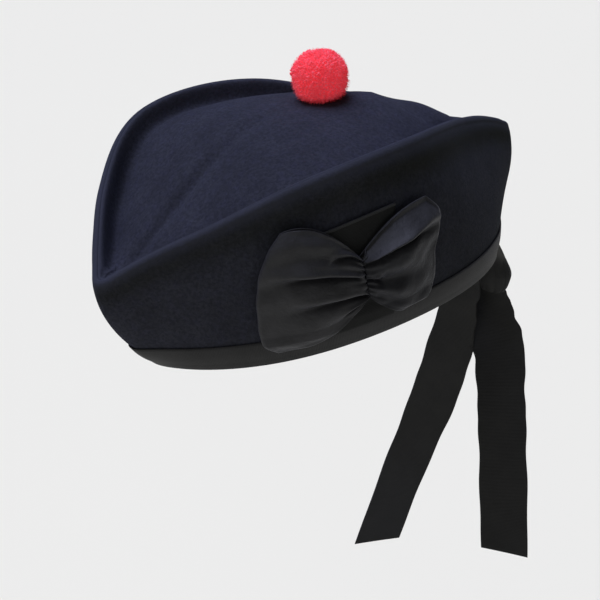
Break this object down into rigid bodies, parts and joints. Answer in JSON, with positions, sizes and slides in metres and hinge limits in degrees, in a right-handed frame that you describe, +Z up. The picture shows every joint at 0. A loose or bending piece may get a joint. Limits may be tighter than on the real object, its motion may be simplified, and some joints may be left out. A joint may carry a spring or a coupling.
{
  "type": "glengarry",
  "caption": "Felt glengarry with a sunken crown between raised side ridges, a ribbon-bound rim, a gathered bow cockade, a knot with hanging ribbon tails at the nape and a wool pompom.",
  "frame": {"origin": "middle of the head opening, level with the rim, where the hat sits on a head", "axes": "+Z up through the crown, -Y to the wearer's front, +X to the wearer's left"},
  "size_m": [0.1767, 0.2678, 0.343],
  "materials": {
    "navy_felt": "matte milled wool, very dark navy",
    "black_ribbon": "black ribbon with a soft sheen",
    "red_wool": "fluffy cut wool, bright red"
  },
  "bodies": {
    "root": {"side_left": "navy_felt", "side_right": "navy_felt", "crown": "navy_felt", "binding": "black_ribbon", "cockade_backing": "black_ribbon", "cockade_front_wing": "black_ribbon", "cockade_rear_wing": "black_ribbon", "tail_knot": "black_ribbon", "tail_left": "black_ribbon", "tail_right": "black_ribbon", "toorie": "red_wool"}
  },
  "joints": []
}
